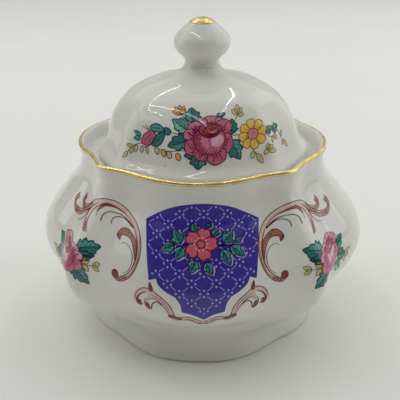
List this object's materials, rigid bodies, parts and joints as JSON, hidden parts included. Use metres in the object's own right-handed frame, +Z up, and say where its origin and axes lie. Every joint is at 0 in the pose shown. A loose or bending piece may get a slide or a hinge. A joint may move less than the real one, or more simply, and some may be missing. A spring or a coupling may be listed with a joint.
{
  "type": "lidded sugar bowl",
  "caption": "Lidded porcelain sugar bowl: four-lobed bellied bowl on a foot ring, domed lid with spoon notch and bud knob, gilded rim, flower and shield transfers.",
  "frame": {"origin": "on the table, under the middle of the foot ring", "axes": "+Z up along the knob; -Y is the front, the panel with the shield; the lid's spoon notch is on the -X side"},
  "size_m": [0.1168, 0.1168, 0.1098],
  "materials": {
    "bowl_porcelain": "clear glossy glaze over white porcelain",
    "rim_gilt": "burnished gilding fired on the glaze",
    "lid_porcelain": "clear glossy glaze over white porcelain",
    "knob_porcelain": "clear glossy glaze over white porcelain",
    "knob_gilt": "burnished gilding fired on the glaze"
  },
  "bodies": {
    "bowl": {"bowl": "bowl_porcelain", "rim_gilding": "rim_gilt"},
    "lid": {"lid": "lid_porcelain", "knob": "knob_porcelain", "knob_gilding": "knob_gilt"}
  },
  "joints": [
    {"name": "lid_lift", "type": "slide", "parent": "bowl", "child": "lid", "axis": [0, 0, 1], "range_m": [0, 0.05]}
  ]
}
